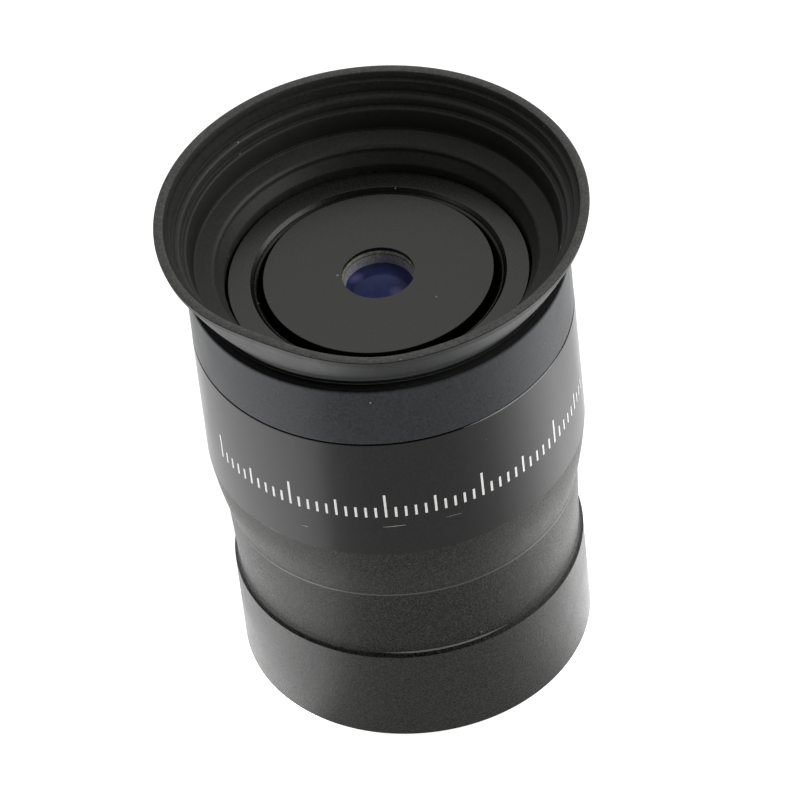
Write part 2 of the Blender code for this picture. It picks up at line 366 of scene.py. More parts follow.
def inner_metal():
    """Matte black anodising inside, which keeps stray light down."""
    finish = Finish("inner_anodised")
    grain = finish.noise(0.2 * MM, detail=3)
    finish.color(finish.blend(grain, (0.004, 0.004, 0.004), (0.012, 0.012, 0.012)))
    finish.rough(finish.ramp(grain, 0.3, 0.7, 0.55, 0.70))
    finish.bump((grain, 0.01 * MM, 0.3))
    return finish.material


def turned_edge():
    """The brighter, smoother metal of a freshly turned edge."""
    finish = Finish("turned_edge")
    wear = finish.noise(0.5 * MM, detail=3)
    finish.color(finish.blend(wear, (0.010, 0.010, 0.010), (0.030, 0.030, 0.029)))
    finish.set(Specular_IOR_Level=0.60)
    finish.rough(finish.ramp(wear, 0.3, 0.7, 0.25, 0.40))
    finish.bump((wear, 0.003 * MM, 0.2))
    return finish.material


# The painted shade deep in the cup: its tone, and the heights down which it comes in.
PAINTED_SHADE_TONE = (0.010, 0.0103, 0.0093)
PAINTED_SHADE_HEIGHTS = (45.4 * MM, 46.9 * MM)


def moulded_rubber(name, dark, light, worn, sheen, roughness, fade=None):
    """Black rubber: soft mottling, a fine moulded texture and a little dust.

    fade is a range of heights, down which the rubber darkens into a painted shade.
    """
    finish = Finish(name)
    texture = finish.noise(0.24 * MM, detail=4, roughness=0.6)
    mottle = finish.noise(2.2 * MM, detail=4)
    dust = finish.specks(1.0 * MM, 0.060, 0.08)
    tone = finish.blend(mottle, dark, light)
    tone = finish.blend(finish.ramp(texture, 0.4, 0.7, 0, 0.8), tone, worn)
    # Painted shade: towards the bottom of the fade heights the tone turns into the shaded tone.
    if fade:
        split = finish.node("ShaderNodeSeparateXYZ")
        finish.join(finish.place, split.inputs["Vector"])
        tone = finish.blend(finish.ramp(split.outputs["Z"], *fade, 0, 1), PAINTED_SHADE_TONE, tone)
    finish.color(finish.blend(dust, tone, (0.36, 0.36, 0.35)))
    finish.set(Specular_IOR_Level=sheen)
    rough = finish.ramp(texture, 0.3, 0.7, 0.9 * roughness, 1.1 * roughness)
    finish.rough(finish.math("ADD", rough, finish.ramp(mottle, 0.3, 0.7, -0.03, 0.03)))
    finish.bump((texture, 0.015 * MM, 0.3), (mottle, 0.05 * MM, 0.2))
    return finish.material


def coated_glass(name, dark, light, back_light, gleams=()):
    """Polished glass, whose antireflection coating gives back a violet-blue light.

    Each gleam is a painted reflection: a soft, brighter patch, given by the x, y and height of its middle,
    its reach and its colour.
    """
    finish = Finish(name)
    cloud = finish.noise(1.5 * MM, detail=2)
    tone = finish.blend(finish.ramp(cloud, 0.35, 0.65, 0, 1), dark, light)
    # Painted reflections: near each middle the tone turns towards that gleam's colour.
    for *middle, reach, color in gleams:
        away = finish.node("ShaderNodeVectorMath", operation="DISTANCE")
        away.inputs[1].default_value = middle
        finish.join(finish.place, away.inputs[0])
        tone = finish.blend(finish.ramp(away.outputs["Value"], reach / 4, reach, 1, 0), tone, color)
    finish.color(tone)
    finish.rough(finish.ramp(cloud, 0.3, 0.7, 0.10, 0.22))
    finish.set(IOR=1.5, Specular_IOR_Level=0.5, Specular_Tint=back_light)
    return finish.material


def ground_glass(name, low, high, grain_size):
    """Fine-ground glass: a pale, speckled matte surface."""
    finish = Finish(name)
    grain = finish.noise(grain_size, detail=4, roughness=0.7)
    finish.color(finish.blend(finish.ramp(grain, 0.38, 0.66, 0, 1), low, high))
    finish.rough(finish.ramp(grain, 0.3, 0.7, 0.4, 0.6))
    finish.bump((grain, 0.01 * MM, 0.4))
    return finish.material


def pale_print_and_painted_highlight(name, low, high):
    """Pale ink, or pale bare metal, slightly worn. Also painted highlights."""
    finish = Finish(name)
    wear = finish.noise(0.3 * MM, detail=4)
    finish.color(finish.blend(wear, low, high))
    finish.rough(finish.ramp(wear, 0.3, 0.7, 0.5, 0.7))
    finish.bump((wear, 0.005 * MM, 0.3))
    return finish.material


BLASTED = blasted_metal("blasted_anodised", (0.0005, 0.0006, 0.0005), (0.0330, 0.0345, 0.0300), 0.17, 0.30)
NECK_BLASTED = blasted_metal(
    "blasted_anodised_neck", (0.0060, 0.0062, 0.0056), (0.0430, 0.0445, 0.0395), 0.08, 0.28
)
TAPER_BLASTED = blasted_metal(
    "blasted_anodised_taper", (0.0110, 0.0113, 0.0102), (0.0450, 0.0465, 0.0412), 0.04, 0.25
)
EDGE = turned_edge()
SATIN = satin_metal()
GREY = grey_metal("grey_anodised", 2.0)
BEVEL_GREY = grey_metal("grey_anodised_bevel", 1.5)
INNER = inner_metal()
RUBBER = moulded_rubber(
    "eyecup_rubber",
    (0.017, 0.0184, 0.0208),
    (0.025, 0.0268, 0.0300),
    (0.040, 0.0420, 0.0450),
    sheen=0.09,
    roughness=0.30,
)
# A darker copy of the eyecup rubber for the outside of the wall and the rim: painted shade where they face
# down and out.
SKIRT_RUBBER_PAINTED_SHADE = moulded_rubber(
    "eyecup_skirt_rubber_painted_shade",
    (0.006, 0.0064, 0.0070),
    (0.010, 0.0106, 0.0115),
    (0.020, 0.0208, 0.0215),
    sheen=0.15,
    roughness=0.45,
)
# A lighter copy of the eyecup rubber for the faces that look inwards or up: painted light.
CUP_RUBBER_PAINTED_LIGHT = moulded_rubber(
    "eyecup_inner_rubber_painted_light",
    (0.020, 0.0206, 0.0182),
    (0.031, 0.0320, 0.0284),
    (0.052, 0.0532, 0.0480),
    sheen=0.50,
    roughness=0.50,
)
# The deep wall by the fold: a lighter copy of the rubber, with painted light, that darkens downwards into
# painted shade.
DEEP_RUBBER_PAINTED_LIGHT_AND_SHADE = moulded_rubber(
    "eyecup_deep_rubber_painted_light_and_shade",
    (0.018, 0.0186, 0.0164),
    (0.028, 0.0290, 0.0256),
    (0.046, 0.0472, 0.0426),
    sheen=0.40,
    roughness=0.55,
    fade=PAINTED_SHADE_HEIGHTS,
)
# A much lighter copy of the rubber for the lip's top: painted light from above.
LIP_RUBBER_PAINTED_LIGHT = moulded_rubber(
    "eyecup_lip_rubber_painted_light",
    (0.085, 0.085, 0.080),
    (0.122, 0.122, 0.115),
    (0.195, 0.195, 0.183),
    sheen=0.25,
    roughness=0.55,
)
# Painted reflections of the lamps in the eye lens's inner surfaces, as soft violet patches.
EYE_PAINTED_REFLECTIONS = (
    (-2.1 * MM, 1.3 * MM, 41.0 * MM, 0.9 * MM, (0.170, 0.160, 0.420)),
    (1.5 * MM, -1.3 * MM, 41.0 * MM, 0.9 * MM, (0.160, 0.150, 0.330)),
)
EYE_GLASS = coated_glass(
    "coated_eye_glass", (0.026, 0.038, 0.125), (0.042, 0.048, 0.165), (0.30, 0.38, 0.6, 1), EYE_PAINTED_REFLECTIONS
)
INNER_GLASS = coated_glass(
    "coated_inner_glass", (0.010, 0.014, 0.05), (0.02, 0.02, 0.08), (0.5, 0.6, 1.0, 1)
)
GROUND = ground_glass("ground_glass_edge", (0.24, 0.245, 0.15), (0.56, 0.58, 0.40), 0.25 * MM)
VEILED = ground_glass("veiled_glass_edge", (0.28, 0.27, 0.31), (0.75, 0.74, 0.78), 0.13 * MM)
PRINT = pale_print_and_painted_highlight("index_print", (0.55, 0.55, 0.54), (0.85, 0.85, 0.84))
# A painted highlight, for the edges that catch the light.
PAINTED_HIGHLIGHT = pale_print_and_painted_highlight("painted_edge_highlight", (0.10, 0.10, 0.10), (0.17, 0.17, 0.165))
SCRATCHED = pale_print_and_painted_highlight("scratched_metal", (0.20, 0.20, 0.20), (0.45, 0.45, 0.44))


# ---------------------------------------------------------------- metal pieces

NOSE_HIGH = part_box("nosepiece")[1]
SLEEVE_LOW, SLEEVE_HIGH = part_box("housing_sleeve")
BASE_LOW, BASE_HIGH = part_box("eyecup_base")
RING_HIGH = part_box("clamp_ring")[1]
PLATE_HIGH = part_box("eye_plate")[1]
LIP_LOW, LIP_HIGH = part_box("eyecup_lip")
SKIRT_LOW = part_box("eyecup_skirt")[0]

FINE_ROUNDING = 0.03 * MM
HAIR = 0.01 * MM
# Shares of the nosepiece's radius or height that tell its outline's points apart.
OUTSIDE_SHARE = 0.95
RIM_SHARE = 0.98
MOUTH_WALL_SHARE = 0.93
MOUTH_SHARE = 0.4
RIM_EDGE_HEIGHT = 0.17 * MM
RIM_EDGE_DEPTH = 0.30 * MM
FILLET_DEPTH = 0.372 * MM
FILLET_TURN = 0.20 * MM
FILLET_LEAN = 0.017 * MM
FILLET_HEIGHT = 0.53 * MM
FILLET_STATIONS = 8
TAPER_FOOT_RADIUS = 15.87 * MM
TAPER_FOOT_SHARE = 0.97
TAPER_BOW = 0.10 * MM
TAPER_STATIONS = 6

THREAD_PITCH = 0.6 * MM
THREAD_HEIGHT = 0.30 * MM
THREAD_WIDTH = 0.52 * MM
THREAD_INSET = 0.45 * MM
THREAD_STEPS = 96
THREAD_RUN_IN = 16
# Half of the thread's root and half of its crest, as shares of its width.
THREAD_ROOT = 0.5
THREAD_CREST = 0.08


def shoulder_curve(first, last):
    """The fillet between the nosepiece's barrel and its undercut, in the order that the outline runs."""
    foot = min(first, last, key=lambda point: point[1])
    inner = NOSE_HIGH.x - FILLET_DEPTH
    start = Vector(foot)
    turn = Vector((inner, foot[1] + FILLET_TURN))
    end = Vector((inner + FILLET_LEAN, foot[1] + FILLET_HEIGHT))
    curve = []
    for station in range(1, FILLET_STATIONS + 1):
        t = station / FILLET_STATIONS
        curve.append(tuple(start * (1 - t) ** 2 + turn * 2 * t * (1 - t) + end * t**2))
    return curve if foot == first else curve[::-1]


def waist_at(outline):
    """The place in the nosepiece's outline of its waist, where the outside is narrowest."""
    return outline.index(min(point for point in outline if point[0] > OUTSIDE_SHARE * NOSE_HIGH.x))


def make_nosepiece():
    """The nosepiece: a chamfered tube with a shallow undercut, and a bright edge on top of its neck."""
    outline = section("nosepiece")
    at = waist_at(outline)
    waist = outline[at]
    curve = shoulder_curve(outline[at - 1], outline[at + 1])
    smooth = rounded(outline[:at] + curve + outline[at + 1 :], FINE_ROUNDING)
    tube = spun("nosepiece_tube", smooth, BLASTED)
    paint(tube, NECK_BLASTED, lambda radius, height, outward, upward: height > waist[1] and outward > 0)
    place(tube, "nose", "blasted_anodised", "nosepiece")
    radius = NOSE_HIGH.x
    top = max(height for reach, height in outline if radius - reach < SAME)
    low = top - RIM_EDGE_HEIGHT
    edge = [
        (radius - RIM_EDGE_DEPTH, low),
        (radius + HAIR, low),
        (radius + HAIR, top - HAIR),
        (radius - HAIR, top),
        (radius - RIM_EDGE_DEPTH, top),
    ]
    place(spun("nosepiece_rim_edge", edge, EDGE), "nose", "blasted_anodised")


def make_filter_thread():
    """The helical thread that takes a filter, inside the nosepiece's mouth."""
    mouth = [point for point in section("nosepiece") if point[1] < MOUTH_SHARE * NOSE_HIGH.z]
    shoulder = max(height for radius, height in mouth if radius < MOUTH_WALL_SHARE * NOSE_HIGH.x)
    wall = min(radius for radius, height in mouth if 0 < height < shoulder)
    turns = (shoulder - 2 * THREAD_INSET - THREAD_WIDTH) / THREAD_PITCH
    count = int(turns * THREAD_STEPS)
    corners = (
        (SEAM, -THREAD_ROOT),
        (-THREAD_HEIGHT, -THREAD_CREST),
        (-THREAD_HEIGHT, THREAD_CREST),
        (SEAM, THREAD_ROOT),
    )
    points = []
    for step in range(count + 1):
        angle = math.tau * step / THREAD_STEPS
        middle = THREAD_INSET + THREAD_WIDTH / 2 + THREAD_PITCH * step / THREAD_STEPS
        run_in = min(1, step / THREAD_RUN_IN, (count - step) / THREAD_RUN_IN)
        for inward, across in corners:
            radius = wall + (inward if inward > 0 else inward * run_in)
            level = middle + across * THREAD_WIDTH
            points.append((radius * math.cos(angle), radius * math.sin(angle), level))
    size = len(corners)
    faces = [tuple(range(size)), tuple(range(count * size, (count + 1) * size))]
    for step in range(count):
        for side in range(size):
            following = (side + 1) % size
            low, high = step * size, (step + 1) * size
            faces.append((low + side, low + following, high + following, high + side))
    mesh = bpy.data.meshes.new("filter_thread")
    mesh.from_pydata(points, [], faces)
    finish_mesh(mesh, BLASTED)
    place(link("filter_thread", mesh), "nose", "blasted_anodised")


def bowed_taper(foot):
    """The taper's outside, from below the sleeve down to its foot, which is a height."""
    top_radius, top = SLEEVE_HIGH.x, SLEEVE_LOW.z - GAP
    curve = []
    for step in range(1, TAPER_STATIONS):
        t = step / TAPER_STATIONS
        straight = top_radius * (1 - t) + TAPER_FOOT_RADIUS * t
        curve.append((straight + TAPER_BOW * math.sin(math.pi * t), top * (1 - t) + foot * t))
    return curve + [(TAPER_FOOT_RADIUS, foot)]


def make_main_body():
    """The core. Its taper's foot comes down onto the nosepiece's rim, and bows out a little on the way."""
    body_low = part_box("main_body")[0].z
    rim_top = max(height for radius, height in section("nosepiece") if radius > RIM_SHARE * NOSE_HIGH.x)
    taper = bowed_taper(rim_top)
    outline = []
    for radius, height in section("main_body"):
        foot = abs(height - body_low) < SAME
        if foot and radius > TAPER_FOOT_SHARE * TAPER_FOOT_RADIUS:
            downwards = outline and outline[-1][1] > height
            outline += taper if downwards else taper[::-1]
        else:
            outline.append((radius, rim_top if foot else height))

    def softer(radius, height):
        return 0 if height < SLEEVE_LOW.z else FINE_ROUNDING

    smooth = rounded(outline, softer)
    place(spun("main_body_core", smooth, TAPER_BLASTED), "housing", "blasted_anodised", "main_body")


def make_housing_sleeve():
    """The smooth cylinder, from the taper's edge up to the rubber band."""
    taper_top = SLEEVE_LOW.z - GAP

    def close_seams(radius, height):
        return radius, taper_top if abs(height - SLEEVE_LOW.z) < SAME else BASE_LOW.z - BAND_SEAM

    outline = moved(section("housing_sleeve"), close_seams)
    smooth = rounded(outline, lambda radius, height: 0 if height - taper_top < SAME else EDGE_ROUNDING)
    place(spun("housing_tube", smooth, SATIN), "housing", "satin_anodised", "housing_sleeve")


BEVEL_FACING = -0.3
# The corners of the bevel's steps: a radius, and a drop below the ring's top.
BEVEL_STEPS = (
    (11.02 * MM, 0.30 * MM),
    (10.99 * MM, 0.38 * MM),
    (10.95 * MM, 0.34 * MM),
    (10.74 * MM, 0.47 * MM),
)


def make_clamp_ring():
    """The ring round the face plate. Its bevel falls in two steps towards the plate."""
    outline = section("clamp_ring")
    bore = min(radius for radius, height in outline)
    bevel_top = min(point for point in outline if RING_HIGH.z - point[1] < SAME)
    bevel_foot = max((point for point in outline if point[0] - bore < SAME), key=lambda point: point[1])
    stepped = [(radius, RING_HIGH.z - drop) for radius, drop in BEVEL_STEPS]
    at_top, at_foot = outline.index(bevel_top), outline.index(bevel_foot)
    if (at_top + 1) % len(outline) == at_foot:
        outline[at_top + 1 : at_top + 1] = stepped
    else:
        outline[at_foot + 1 : at_foot + 1] = stepped[::-1]
    ring = spun("clamp_ring_turned", rounded(outline, FINE_ROUNDING), GREY)
    paint(ring, BEVEL_GREY, lambda radius, height, outward, upward: outward < BEVEL_FACING)
    place(ring, "housing", "grey_anodised", "clamp_ring")


def make_eye_plate():
    """The flat disc with the aperture that the eye lens sits behind."""
    smooth = rounded(section("eye_plate"), FINE_ROUNDING)
    place(spun("face_plate", smooth, GREY), "housing", "grey_anodised", "eye_plate")


def make_inner_metal():
    """The metal inside. The retaining ring keeps its CAD shape, because it has spanner slots."""
    for node in ("lens_cell", "lens_spacer", "field_stop"):
        place(spun(node + "_turned", rounded(section(node)), INNER), "housing", "inner_anodised", node)
    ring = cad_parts["cell_retaining_ring"]
    ring.data.materials.clear()
    ring.data.materials.append(INNER)


EDGE_TOP_DROP = 0.36 * MM
GROUND_EDGE = 0.24 * MM
GROUND_EDGE_WIDTH = 0.12 * MM
EDGE_GROOVE = 0.07 * MM
GROOVE_SLANT = EDGE_GROOVE / 4
WALL_DROP = 0.99 * MM
WALL_TAPER = 0.07 * MM
GLASS_DOME = 0.42 * MM
DOME_STATIONS = 14


def make_eye_lens():
    """The eye lens behind the aperture: its ground edge, a dark groove, a paler zone and the coated face."""
    aperture = min(radius for radius, height in section("eye_plate"))
    rim = aperture - GROUND_EDGE_WIDTH
    top = PLATE_HIGH.z - EDGE_TOP_DROP
    foot = top - GROUND_EDGE
    edge = [(aperture, foot), (aperture, top), (rim, foot)]
    place(spun("eye_lens_ground_edge", edge, GROUND), "housing", "coated_glass")
    wall_top = foot - EDGE_GROOVE
    groove = [(rim, foot), (rim - GROOVE_SLANT, wall_top), (aperture, wall_top), (aperture, foot)]
    place(spun("eye_lens_edge_groove", groove, INNER), "housing", "inner_anodised")
    inner = rim - WALL_TAPER
    wall_foot = wall_top - WALL_DROP
    wall = [(rim, wall_top), (inner, wall_foot), (aperture, wall_foot), (aperture, wall_top)]
    place(spun("eye_lens_inner_edge", wall, VEILED), "housing", "coated_glass")
    sphere = (inner**2 + GLASS_DOME**2) / (2 * GLASS_DOME)
    face = []
    for station in range(DOME_STATIONS + 1):
        radius = inner * station / DOME_STATIONS
        face.append((radius, wall_foot + GLASS_DOME - sphere + math.sqrt(sphere**2 - radius**2)))
    place(spun("eye_lens_face", face, EYE_GLASS, closed=False), "housing", "coated_glass", "eye_flint")


def make_lenses():
    """The eye lens as it is seen, and the three lenses behind it."""
    make_eye_lens()
    for node in ("eye_crown", "field_crown", "field_flint"):
        outline = section(node)
        place(spun(node + "_lens", outline, INNER_GLASS, closed=False), "housing", "coated_glass", node)


# ---------------------------------------------------------------- rubber

LIP_OUTER_RADIUS = 19.12 * MM
LIP_LOW_RADIUS = 18.97 * MM
# The lip's rounded edges, as offsets in radius and height from its outer and its inner top corner.
LIP_OUTER_EDGE = ((-0.02 * MM, -0.20 * MM), (0, -0.11 * MM), (-0.04 * MM, -0.04 * MM), (-0.14 * MM, 0))
LIP_INNER_EDGE = ((0.24 * MM, 0), (0.12 * MM, -0.04 * MM), (0.04 * MM, -0.16 * MM))
SKIRT_BELLY = (18.30 * MM, 47.95 * MM)
SKIRT_TURN = (17.50 * MM, 46.20 * MM)
SKIRT_END = (16.50 * MM, 45.25 * MM)
SKIRT_STATIONS = 20
NECK_RADIUS = 16.25 * MM
DEEP_REACH = 0.50 * MM
STEP_ROUNDING = 0.24 * MM
CREASE_WIDTH = 0.22 * MM
CREASE_DEPTH = 0.16 * MM
BEAD_RISE = 0.14 * MM
BAND_DROP = 0.10 * MM
BAND_EDGE_ROUNDING = 0.28 * MM
BAND_FOOT_ROUNDING = 0.12 * MM
DENT_DEPTH = 0.75 * MM
DENT_ANGLE = math.radians(-36)
DENT_SPREAD = math.radians(13)
BULGE_DEPTH = 0.25 * MM
BULGE_SPREAD = math.radians(9)
# How far a face must look inwards, upwards or straight up to take a lighter copy of the rubber, with painted
# light.
INWARD = -0.2
UPWARD = 0.2
STRAIGHT_UP = 0.8


def lip_outline():
    """The lip's section: nearly upright outside, with a rounded top."""
    inner = min(radius for radius, height in section("eyecup_lip"))
    top, low = LIP_HIGH.z, LIP_LOW.z
    outer_edge = [(LIP_OUTER_RADIUS + out, top + up) for out, up in LIP_OUTER_EDGE]
    inner_edge = [(inner + out, top + up) for out, up in LIP_INNER_EDGE]
    return [(inner, low), (LIP_LOW_RADIUS, low)] + outer_edge + inner_edge


def press_dent(piece):
    """Presses a dent into the cup's front rim, beside a slight bulge. Both fade out down to the fold."""
    for vert in piece.data.vertices:
        radius = math.hypot(vert.co.x, vert.co.y)
        angle = math.atan2(vert.co.x, -vert.co.y)
        share = (vert.co.z - SKIRT_LOW.z) / (LIP_LOW.z - SKIRT_LOW.z)
        share = min(1, max(0, share))
        dent = DENT_DEPTH * math.exp(-(((angle - DENT_ANGLE) / DENT_SPREAD) ** 2) / 2)
        bulge = BULGE_DEPTH * math.exp(-((angle / BULGE_SPREAD) ** 2) / 2)
        scale = 1 + (bulge - dent) * share / radius
        vert.co.x *= scale
        vert.co.y *= scale
    piece.data.update()


def skirt_outline():
    """The skirt's section: the CAD's stepped inside, and an outside that bellies out to the lip."""
    outline = section("eyecup_skirt")
    top = max(height for radius, height in outline)
    start = (LIP_LOW_RADIUS, LIP_LOW.z)
    corners = [Vector(corner) for corner in (start, SKIRT_BELLY, SKIRT_TURN, SKIRT_END)]
    curve = []
    for station in range(SKIRT_STATIONS + 1):
        t = station / SKIRT_STATIONS
        shares = ((1 - t) ** 3, 3 * t * (1 - t) ** 2, 3 * t**2 * (1 - t), t**3)
        weighed = (corner * share for corner, share in zip(corners, shares))
        curve.append(tuple(sum(weighed, Vector((0, 0)))))
    outer_top = max(point for point in outline if top - point[1] < SAME)
    foot = max(point for point in outline if point[1] - SKIRT_LOW.z < 2 * GAP)

    def on_belly(radius, height):
        rise = (height - foot[1]) / (outer_top[1] - foot[1])
        return radius > foot[0] + rise * (outer_top[0] - foot[0]) + SAME

    outline = [point for point in outline if not on_belly(*point)]
    at_top, at_foot = outline.index(outer_top), outline.index(foot)
    if (at_top + 1) % len(outline) != at_foot:
        outline.reverse()
        at_top, at_foot = outline.index(outer_top), outline.index(foot)

    def meet_neighbours(radius, height):
        if height - SKIRT_LOW.z < SAME:
            return min(radius, NECK_RADIUS), height
        return radius, LIP_LOW.z if top - height < SAME else height

    inside = moved(outline[at_foot + 1 :] + outline[:at_top], meet_neighbours)

    def softness(radius, height):
        return 0 if height - SKIRT_LOW.z < SAME or LIP_LOW.z - height < SAME else STEP_ROUNDING

    return curve + rounded(creased(inside), softness, closed=False)


def creased(points):
    """Cuts a fine groove into each hollow corner of the cup's inside. The outline runs upwards."""
    result = [points[0]]
    for before, corner, after in zip(points, points[1:], points[2:]):
        down, on = Vector(before) - Vector(corner), Vector(after) - Vector(corner)
        hollow = on.y * down.x - on.x * down.y < 0 and min(down.length, on.length) > CREASE_WIDTH
        if not hollow:
            result.append(corner)
            continue
        inwards = (down.normalized() + on.normalized()).normalized()
        result.append(tuple(Vector(corner) + down.normalized() * CREASE_WIDTH))
        result.append(tuple(Vector(corner) - inwards * CREASE_DEPTH))
        result.append(tuple(Vector(corner) + on.normalized() * CREASE_WIDTH))
    return result + [points[-1]]


def band_outline():
    """The band's section, with a bead in its well and a collar that the skirt's foot stands on."""
    outline = section("eyecup_base")
    land = [point for point in outline if BASE_HIGH.z - point[1] < SAME]
    inner, outer = min(land), max(land)
    well = [point for point in outline if point[0] < inner[0] - SAME and point[1] > RING_HIGH.z]
    crease, bead_end = sorted(well, reverse=True)[1:3]
    if (outline.index(inner) + 1) % len(outline) == outline.index(outer):
        outline.reverse()
    start = outline.index(outer)
    outline = outline[start:] + outline[:start]
    edge = max(point for point in outline if point[1] > BASE_LOW.z + GAP)
    outline[outline.index(edge)] = (edge[0], edge[1] - BAND_DROP)
    collar = SKIRT_LOW.z - HAIR
    steps = [outer, (NECK_RADIUS, outer[1]), (NECK_RADIUS, collar), (inner[0], collar), inner]
    middle = (Vector(crease) + Vector(bead_end)) / 2
    along = (Vector(bead_end) - Vector(crease)).normalized()
    inwards = Vector((along.y, -along.x))
    if inwards.x > 0:
        inwards.negate()
    bead = tuple(middle + inwards * BEAD_RISE)
    after = outline[outline.index(inner) + 1 :]
    at = after.index(bead_end)
    return steps + after[:at] + [bead] + after[at:]


def make_eyecup():
    """The rubber: the band, the wall that folds and the rim on top of it."""

    def softness(radius, height):
        if BASE_HIGH.x - radius > SAME:
            return EDGE_ROUNDING
        return BAND_FOOT_ROUNDING if height - BASE_LOW.z < SAME else BAND_EDGE_ROUNDING

    band = spun("eyecup_band", rounded(band_outline(), softness), RUBBER)
    # Painted light on the band's faces that look inwards, and on its well.
    paint(band, CUP_RUBBER_PAINTED_LIGHT, lambda radius, height, outward, upward: outward < INWARD or radius < NECK_RADIUS)
    place(band, "cup", "eyecup_rubber", "eyecup_base")

    # The wall's outside is the darker copy of the rubber, with painted shade.
    wall = spun("eyecup_wall", skirt_outline(), SKIRT_RUBBER_PAINTED_SHADE)
    # Painted light on the wall's faces that look inwards or up.
    paint(wall, CUP_RUBBER_PAINTED_LIGHT, lambda radius, height, outward, upward: outward < INWARD or upward > UPWARD)
    # Painted light and painted shade on the deep wall near the fold, which darkens downwards.
    riser_top = min(radius for radius, height in section("eyecup_skirt")) + DEEP_REACH
    paint(wall, DEEP_RUBBER_PAINTED_LIGHT_AND_SHADE, lambda radius, height, outward, upward: outward < INWARD and radius < riser_top)
    press_dent(wall)
    place(wall, "cup", "eyecup_rubber", "eyecup_skirt")
    # The rim's outside is the darker copy of the rubber, with painted shade.
    rim = spun("eyecup_rim", lip_outline(), SKIRT_RUBBER_PAINTED_SHADE)
    # Painted light on the rim's inner faces.
    paint(rim, CUP_RUBBER_PAINTED_LIGHT, lambda radius, height, outward, upward: outward < INWARD)
    # Painted light, lighter still, on the rim's top.
    paint(rim, LIP_RUBBER_PAINTED_LIGHT, lambda radius, height, outward, upward: upward > STRAIGHT_UP)
    press_dent(rim)
    place(rim, "rim", "eyecup_rubber", "eyecup_lip")
    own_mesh(wall)


# ---------------------------------------------------------------- marks on the sleeve, and painted highlights on edges

MARK_HEIGHT_ABOVE_FLOOR = 30.24 * MM
TICK_WIDTH = 0.22 * MM
TICK_PROUD = 0.015 * MM
TICK_DEPTH = 0.05 * MM
LONG_TICK = 2.7 * MM
MIDDLE_TICK = 1.9 * MM
SHORT_TICK = 1.2 * MM
TICK_STEP = math.radians(3.0)
FIRST_TICK = math.radians(-66)
TICK_COUNT = 49
TICKS_PER_LONG = 10
ARC_STEP = math.radians(1.0)
ARC_END = 0.35
# Each scratch: its start and end in degrees from the front, its height, its width and its rise per radian.
SCRATCHES = (
    (-7.4, -0.6, 27.70 * MM, 0.06 * MM, 0.7 * MM),
    (11.6, 16.6, 27.80 * MM, 0.03 * MM, -0.8 * MM),
    (-33, -30.5, 26.57 * MM, 0.06 * MM, 0),
    (-52, -40, 24.40 * MM, 0.03 * MM, 0),
)
# The painted highlight strips: where they lie, how wide they are, and how they narrow at their ends.
FILLET_GLEAM = Vector((0.285 * MM, 0.24 * MM))
FILLET_GLEAM_HALF = (0.030 * MM, -0.078 * MM)
GLEAM_STEPS = 48
GLEAM_END = 0.1
GLEAM_GROWTH = 4
# Where each painted highlight starts and ends, in degrees from the front.
UNDERCUT_GLEAM_ENDS = (-13, 30)
SLEEVE_GLEAM_ENDS = (20, 66)


def bar(angle, height, width, tall, radius):
    """A thin bar that lies on the sleeve, as points and faces."""
    half = width / 2 / radius
    points = []
    for reach in (radius - TICK_DEPTH, radius + TICK_PROUD):
        for side in (-half, half):
            for level in (height - tall / 2, height + tall / 2):
                turn = angle + side
                points.append((reach * math.sin(turn), -reach * math.cos(turn), level))
    faces = [(0, 1, 3, 2), (4, 6, 7, 5), (0, 2, 6, 4), (1, 5, 7, 3), (0, 4, 5, 1), (2, 3, 7, 6)]
    return points, faces


def bars(name, items, radius, material, body, slot):
    """One piece made of several bars."""
    points, faces = [], []
    for item in items:
        start = len(points)
        more_points, more_faces = bar(*item, radius)
        points += more_points
        faces += [tuple(index + start for index in face) for face in more_faces]
    mesh = bpy.data.meshes.new(name)
    mesh.from_pydata(points, [], faces)
    finish_mesh(mesh, material)
    return place(link(name, mesh), body, slot)


def arc(start, end, height, tall, rise):
    """Bars end to end that make one long line round the object, thinner at its ends."""
    count = max(2, round((end - start) / ARC_STEP))
    items = []
    for step in range(count):
        share = (step + 0.5) / count
        angle = start + (end - start) * share
        thin = tall * (ARC_END + (1 - ARC_END) * math.sin(math.pi * share))
        items.append((angle, height + rise * (angle - start), (end - start) / count * SLEEVE_HIGH.x, thin))
    return items


def make_index_marks():
    """A plain index scale: pale ticks that stand on one line."""
    foot = MARK_HEIGHT_ABOVE_FLOOR - LONG_TICK / 2
    items = []
    for tick in range(TICK_COUNT):
        tall = SHORT_TICK
        if tick % (TICKS_PER_LONG // 2) == 0:
            tall = MIDDLE_TICK
        if tick % TICKS_PER_LONG == 0:
            tall = LONG_TICK
        items.append((FIRST_TICK + tick * TICK_STEP, foot + tall / 2, TICK_WIDTH, tall))
    bars("index_marks", items, SLEEVE_HIGH.x, PRINT, "housing", "satin_anodised")


def make_scratches():
    """Fine scratches that show pale metal."""
    items = []
    for start, end, height, width, rise in SCRATCHES:
        items += arc(math.radians(start), math.radians(end), height, width, rise)
    bars("sleeve_scratches", items, SLEEVE_HIGH.x, SCRATCHED, "housing", "satin_anodised")


